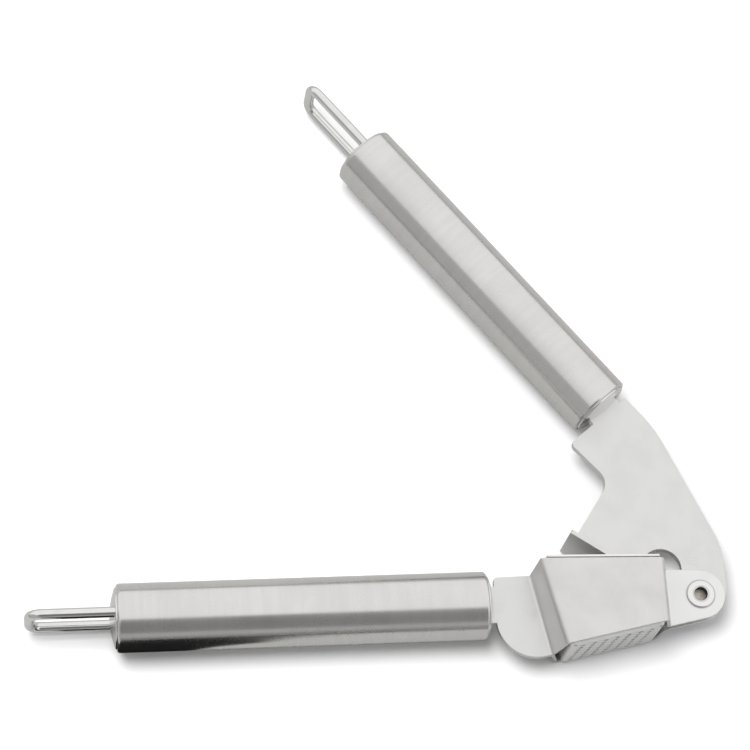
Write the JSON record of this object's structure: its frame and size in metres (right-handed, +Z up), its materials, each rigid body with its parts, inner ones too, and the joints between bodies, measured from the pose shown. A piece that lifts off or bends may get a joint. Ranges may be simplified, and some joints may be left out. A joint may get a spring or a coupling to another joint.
{
  "type": "garlic press",
  "caption": "Hand press: two round tube handles hinged by one rivet, one with a box-shaped sieve chamber, the other with an arm and flat presser foot.",
  "frame": {"origin": "bottom centre of the press's box as it lies on the far side of its chamber", "axes": "+X along the lower handle from its hanging loop to the rivet, +Y towards the raised upper handle, +Z up, along the rivet's axis"},
  "size_m": [0.206, 0.182, 0.023],
  "materials": {
    "brushed_tube": "finely ground round the tube, satin",
    "satin_sheet": "fine matt, tumbled",
    "polished_fittings": "polished bare steel",
    "rivet_steel": "satin with a rolled bright head",
    "plain_steel": "plain, unfinished"
  },
  "bodies": {
    "holder": {"cheek_near": "satin_sheet", "cheek_far": "satin_sheet", "sieve_basket": "satin_sheet", "pivot_rivet": "rivet_steel", "pivot_sleeve": "plain_steel", "lower_grip_tube": "brushed_tube", "lower_front_cap": "polished_fittings", "lower_rear_cap": "polished_fittings", "lower_hanging_loop": "polished_fittings", "lower_loop_anchor": "plain_steel", "lower_tang_support": "plain_steel"},
    "lever": {"arm_plate": "satin_sheet", "presser_foot": "satin_sheet", "presser_weld": "plain_steel", "upper_grip_tube": "brushed_tube", "upper_front_cap": "polished_fittings", "upper_rear_cap": "polished_fittings", "upper_hanging_loop": "polished_fittings", "upper_loop_anchor": "plain_steel", "upper_tang_support": "plain_steel"}
  },
  "joints": [
    {"name": "lever_hinge", "type": "hinge", "parent": "holder", "child": "lever", "pos_m": [0.09469, -0.07421, 0.0115], "axis": [0, 0, 1], "range_deg": [-195, 45]}
  ]
}
